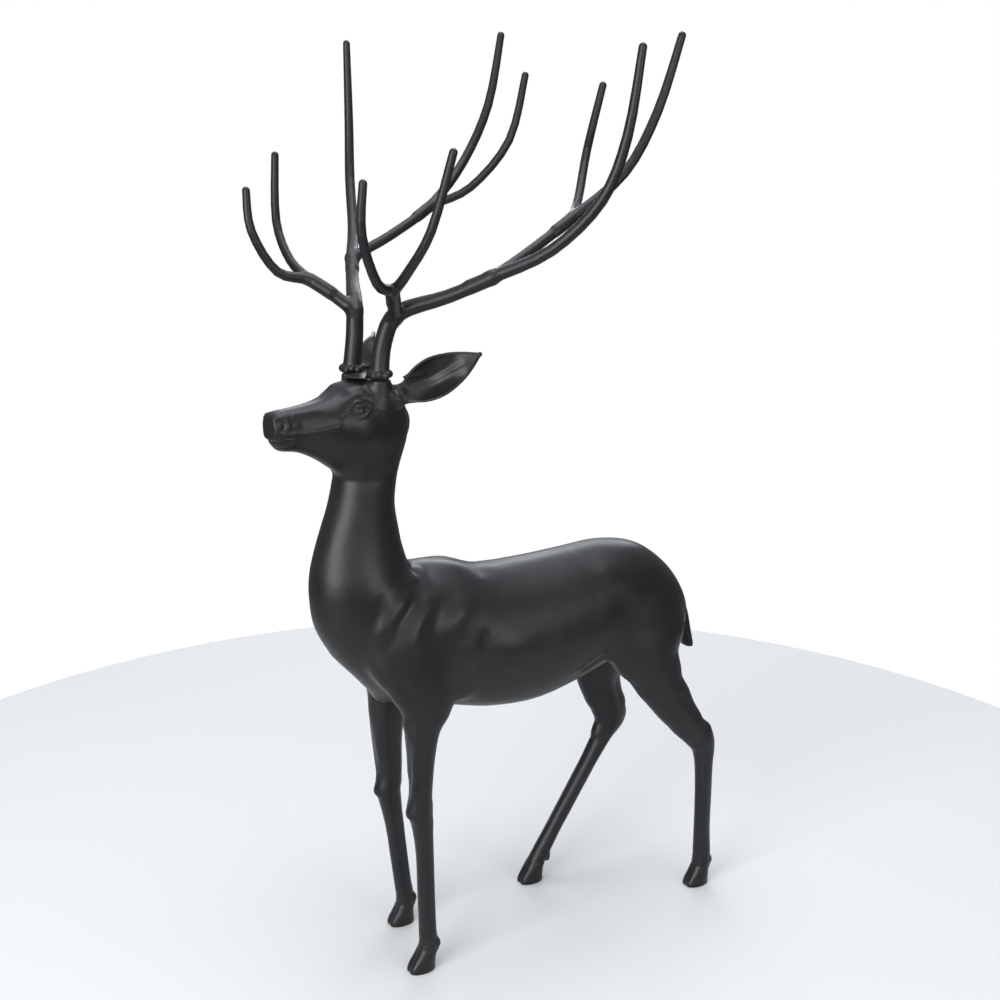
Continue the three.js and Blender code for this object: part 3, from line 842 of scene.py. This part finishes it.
def antler_carving(side):
    """One antler in the head's axes: branches with webbed forks, and the knobbed ring at its foot."""
    forms = []
    for name, rows in BRANCHES.items():
        placed = []
        for index, (ahead, outward, up, radius) in enumerate(rows):
            reach = index / (len(rows) - 1)
            placed.append([ahead, side * outward, up + side * TIP_LIFT[name] * reach ** 2, radius])
        forms.append((Rod(placed), BLENDS["branch"]))
    ahead, outward = ANTLER_FOOT
    for knob in range(BURR_KNOBS):
        turn = 2 * math.pi * (knob + 0.3 * math.sin(5.1 * knob)) / BURR_KNOBS
        wide = BURR_RADIUS - 1.2 + 0.8 * math.sin(2.3 * knob)
        lift = 0.6 * math.sin(3.7 * knob)
        centre = (ahead + wide * math.cos(turn), side * outward + wide * math.sin(turn), lift)
        size = 3.8 + 0.5 * math.sin(1.9 * knob + 1)
        forms.append((Ball(centre, (size, size, 4.2)), BLENDS["knob"]))
    return Turned(Carving(forms))


# Meshing.

def sampled(field, low, counts, cell):
    """The field's values on a grid, worked out only in the blocks that its skin may cross."""
    block = 4
    blocks = [math.ceil(count / block) for count in counts]
    centres = [low[i] + cell * (block * np.arange(blocks[i]) + (block - 1) / 2) for i in range(3)]
    coarse = field(np.stack(np.meshgrid(*centres, indexing="ij"), -1).reshape(-1, 3)).reshape(blocks)
    near = np.abs(coarse) < block * cell * 1.1 + 2.5

    def spread(array):
        for axis in range(3):
            array = array.repeat(block, axis)
        return array[:counts[0], :counts[1], :counts[2]]

    values = spread(np.where(coarse > 0, FAR, -FAR))
    spots, batch = np.argwhere(spread(near)), 400000
    for start in range(0, len(spots), batch):
        some = spots[start:start + batch]
        values[tuple(some.T)] = field(low + cell * some)
    return values


def surface(field, low, high, cell):
    """Corners and four-sided faces over a field's skin inside a box (surface nets)."""
    counts = np.ceil((high - low) / cell).astype(int) + 1
    values = sampled(field, low, counts, cell)
    inside = values < 0
    corners = sum(inside[i:counts[0] - 1 + i, j:counts[1] - 1 + j, k:counts[2] - 1 + k].astype(np.int8)
                  for i in (0, 1) for j in (0, 1) for k in (0, 1))
    cells = np.argwhere((corners > 0) & (corners < 8))
    number = np.full(corners.shape, -1)
    number[tuple(cells.T)] = np.arange(len(cells))
    total, crossings = np.zeros((len(cells), 3)), np.zeros(len(cells))
    faces = []
    for axis in range(3):
        step = np.eye(3, dtype=int)[axis]
        first, second = [i for i in range(3) if i != axis]
        for i in (0, 1):
            for j in (0, 1):
                corner = np.zeros(3, int)
                corner[first], corner[second] = i, j
                start, end = values[tuple((cells + corner).T)], values[tuple((cells + corner + step).T)]
                cut = (start < 0) != (end < 0)
                share = start[cut] / (start[cut] - end[cut])
                total[cut] += corner + share[:, None] * step
                crossings[cut] += 1
        before = np.take(inside, range(counts[axis] - 1), axis)
        after = np.take(inside, range(1, counts[axis]), axis)
        edges = np.argwhere(before != after)
        middle = (edges[:, first] > 0) & (edges[:, second] > 0)
        middle &= (edges[:, first] < counts[first] - 1) & (edges[:, second] < counts[second] - 1)
        edges = edges[middle]
        one, two = np.eye(3, dtype=int)[first], np.eye(3, dtype=int)[second]
        ring = [number[tuple((edges - shift).T)] for shift in (one + two, two, one * 0, one)]
        quads = np.stack(ring, 1)
        turned = before[tuple(edges.T)] != (axis == 1)
        quads[~turned] = quads[~turned][:, ::-1]
        faces.append(quads)
    points = low + cell * (cells + total / crossings[:, None])
    return points, np.vstack(faces)


def sides(faces):
    """The edges of faces that all have the same number of corners, one row an edge."""
    faces = np.array(faces)
    return np.vstack([faces[:, [i, (i + 1) % faces.shape[1]]] for i in range(faces.shape[1])])


def settle(field, points, edges, cell, rounds=3):
    """Evens the mesh out along the skin, and draws every corner onto it."""
    edges = np.unique(np.sort(edges, axis=1), axis=0)
    both = np.vstack([edges, edges[:, ::-1]])
    count = np.bincount(both[:, 0], minlength=len(points))
    for turn in range(rounds):
        if turn < rounds - 1:
            total = [np.bincount(both[:, 0], column, len(points)) for column in points[both[:, 1]].T]
            mean = np.stack(total, 1) / np.maximum(count, 1)[:, None]
            points = points + EVENING * (mean - points)
        points = drawn_onto(field, points, cell)
    return points


def rings(faces):
    """The open rims of a mesh, each as a closed ring of corners."""
    known = {tuple(edge) for edge in sides(faces).tolist()}
    follows = {a: b for a, b in known if (b, a) not in known}
    found = []
    while follows:
        start, after = follows.popitem()
        ring = [start]
        while after != start:
            ring.append(after)
            after = follows.pop(after)
        found.append(ring)
    return found


def bridge(points, first, second):
    """Three-sided faces that close the gap between two rims that face each other."""
    second = second[::-1]
    start = int(np.argmin(((points[second] - points[first[0]]) ** 2).sum(1)))
    second = second[start:] + second[:start + 1]
    first = first + first[:1]
    faces, i, j = [], 0, 0
    while i < len(first) - 1 or j < len(second) - 1:
        ahead = np.inf if i == len(first) - 1 else np.linalg.norm(points[first[i + 1]] - points[second[j]])
        behind = np.inf if j == len(second) - 1 else np.linalg.norm(points[first[i]] - points[second[j + 1]])
        if ahead <= behind:
            faces.append((first[i], second[j], first[i + 1]))
            i += 1
        else:
            faces.append((first[i], second[j], second[j + 1]))
            j += 1
    return faces


def deer_mesh():
    """The casting's corners and faces: feet, body and head, each on its own grid, then joined."""
    field = deer_carving()
    coarser = 1
    low, high = field.low - 6, field.high + 6
    heights = [low[2], FETLOCK_CUT, NECK_CUT, high[2]]
    points, faces, rims = np.empty((0, 3)), np.empty((0, 4), int), []
    for bottom, top, cell in zip(heights, heights[1:], (FOOT_CELL, BODY_CELL, HEAD_CELL)):
        cell *= coarser / SHARE
        box_low, box_high = low.copy(), high.copy()
        box_low[2], box_high[2] = bottom, bottom + cell * round((top - bottom) / cell)
        some, quads = surface(field, box_low, box_high, cell)
        quads += len(points)
        rims += rings(quads)
        points, faces = np.vstack([points, some]), np.vstack([faces, quads])
    seams = []
    rims.sort(key=lambda ring: points[ring, 2].mean())
    while rims:
        ring = rims.pop(0)
        middle = points[ring].mean(0)
        other = min(rims, key=lambda far: np.linalg.norm(points[far].mean(0) - middle))
        rims.remove(other)
        seams += bridge(points, ring, other)
    edges = np.vstack([sides(faces), sides(seams)])
    points = settle(field, points, edges, HEAD_CELL * coarser / SHARE, 4)
    return points, [*faces.tolist(), *seams]


def antler_mesh(side):
    field = antler_carving(side)
    cell = ANTLER_CELL / SHARE * 1
    points, faces = surface(field, field.low - 4, field.high + 4, cell)
    return settle(field, points, sides(faces), cell), faces.tolist()


def piece(name, points, faces, node, material):
    mesh = bpy.data.meshes.new(name)
    placed = (points - FRAME_ORIGIN) * SHARE
    mesh.from_pydata(placed.tolist(), [], faces)
    mesh.shade_smooth()
    mesh.materials.append(material)
    obj = bpy.data.objects.new(name, mesh)
    bpy.context.scene.collection.objects.link(obj)
    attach(obj, "root")
    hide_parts(node)
    return obj


# The paint.

def shader_node(tree, kind, inputs=(), **settings):
    made = tree.nodes.new("ShaderNode" + kind)
    for key, value in settings.items():
        setattr(made, key, value)
    for key, value in dict(inputs).items():
        if isinstance(value, bpy.types.NodeSocket):
            tree.links.new(value, made.inputs[key])
        else:
            made.inputs[key].default_value = value
    return made


def ramp(tree, source, stops):
    made = shader_node(tree, "ValToRGB", {"Fac": source})
    elements = made.color_ramp.elements
    while len(elements) < len(stops):
        elements.new(0.5)
    for element, (place, colour) in zip(elements, stops):
        element.position = place
        element.color = (*colour, 1)
    return made.outputs["Color"]


def satin_black():
    """Satin black paint over a cast surface: soft mottling, an uneven sheen and three depths of relief."""
    material = bpy.data.materials.new("black_satin_paint")
    material.use_nodes = True
    tree = material.node_tree
    shader = tree.nodes["Principled BSDF"]
    place = shader_node(tree, "TexCoord").outputs["Object"]

    def noise(scale, detail, roughness=0.5):
        values = {"Vector": place, "Scale": scale, "Detail": detail, "Roughness": roughness}
        return shader_node(tree, "TexNoise", values).outputs["Fac"]

    mottling = noise(9.0, 4.0, 0.6)
    dark, pale = PAINT_COLOURS
    tree.links.new(ramp(tree, mottling, [(0.3, dark), (0.7, pale)]), shader.inputs["Base Color"])
    sheen = shader_node(tree, "MapRange", {
        "Value": mottling, "From Min": 0.3, "From Max": 0.7,
        "To Min": PAINT_ROUGHNESS[0], "To Max": PAINT_ROUGHNESS[1],
    })
    tree.links.new(sheen.outputs["Result"], shader.inputs["Roughness"])
    shader.inputs["Specular IOR Level"].default_value = 0.25

    # The casting's unevenness, the paint's grain and its fine skin.
    relief = [(noise(45.0, 3.0), 0.12, 0.004), (noise(420.0, 3.0, 0.55), 0.12, 0.0006),
              (noise(1400.0, 2.0), 0.08, 0.0003)]
    below = {}
    for height, strength, distance in relief:
        values = {"Height": height, "Strength": strength, "Distance": distance, **below}
        bump = shader_node(tree, "Bump", values)
        below = {"Normal": bump.outputs["Normal"]}
    tree.links.new(below["Normal"], shader.inputs["Normal"])
    return material


# The stage.

def plain(name, colour, roughness):
    material = bpy.data.materials.new(name)
    material.use_nodes = True
    shader = material.node_tree.nodes["Principled BSDF"]
    shader.inputs["Base Color"].default_value = (*colour, 1)
    shader.inputs["Roughness"].default_value = roughness
    shader.inputs["Specular IOR Level"].default_value = 0.1
    return material


def add_floor():
    corners = 96
    turns = [2 * math.pi * corner / corners for corner in range(corners)]
    mesh = bpy.data.meshes.new("floor")
    rim = [(FLOOR_RADIUS * math.cos(turn), FLOOR_RADIUS * math.sin(turn), 0) for turn in turns]
    mesh.from_pydata(rim, [], [range(corners)])
    mesh.materials.append(plain("pale_floor", FLOOR_COLOUR, 0.9))
    floor = bpy.data.objects.new("floor", mesh)
    bpy.context.scene.collection.objects.link(floor)


def add_world():
    """A pale room: white to the camera, and dimmer low down in what lights the paint."""
    world = bpy.data.worlds.new("room")
    world.use_nodes = True
    tree = world.node_tree
    out = tree.nodes["World Output"]
    direction = shader_node(tree, "TexCoord").outputs["Generated"]
    height = shader_node(tree, "SeparateXYZ", {"Vector": direction}).outputs["Z"]
    lit = shader_node(tree, "Background", {"Color": ramp(tree, height, ROOM_SHADES)})
    seen = shader_node(tree, "Background", {"Color": (1, 1, 1, 1)})
    by_eye = shader_node(tree, "LightPath").outputs["Is Camera Ray"]
    both = shader_node(tree, "MixShader", {0: by_eye, 1: lit.outputs[0], 2: seen.outputs[0]})
    tree.links.new(both.outputs[0], out.inputs["Surface"])
    bpy.context.scene.world = world


def add_light(name, place, target, size, power, colour):
    light = bpy.data.lights.new(name, "AREA")
    light.shape = "RECTANGLE"
    light.size, light.size_y = size
    light.energy = power
    light.color = colour
    obj = bpy.data.objects.new(name, light)
    obj.location = place
    obj.rotation_mode = "QUATERNION"
    obj.rotation_quaternion = (Vector(target) - Vector(place)).to_track_quat("-Z", "Y")
    obj.visible_camera = False
    bpy.context.scene.collection.objects.link(obj)


def add_camera():
    data = bpy.data.cameras.new("camera")
    data.sensor_width = SENSOR_WIDTH
    data.lens = SENSOR_WIDTH * FOCAL_PIXELS / IMAGE_PIXELS
    camera = bpy.data.objects.new("camera", data)
    camera.location = CAMERA_PLACE
    level_part = math.cos(CAMERA_PITCH)
    look = Vector((CAMERA_HEADING[0] * level_part, CAMERA_HEADING[1] * level_part, -math.sin(CAMERA_PITCH)))
    camera.rotation_mode = "QUATERNION"
    camera.rotation_quaternion = look.to_track_quat("-Z", "Y")
    bpy.context.scene.collection.objects.link(camera)
    bpy.context.scene.camera = camera


paint = satin_black()
piece("deer_casting", *deer_mesh(), "deer", paint)
piece("left_antler_casting", *antler_mesh(1), "left_antler", paint)
piece("right_antler_casting", *antler_mesh(-1), "right_antler", paint)
add_floor()
add_world()
for name, values in LIGHTS.items():
    add_light(name, *values)
add_camera()
bpy.context.scene.view_settings.view_transform = "Standard"
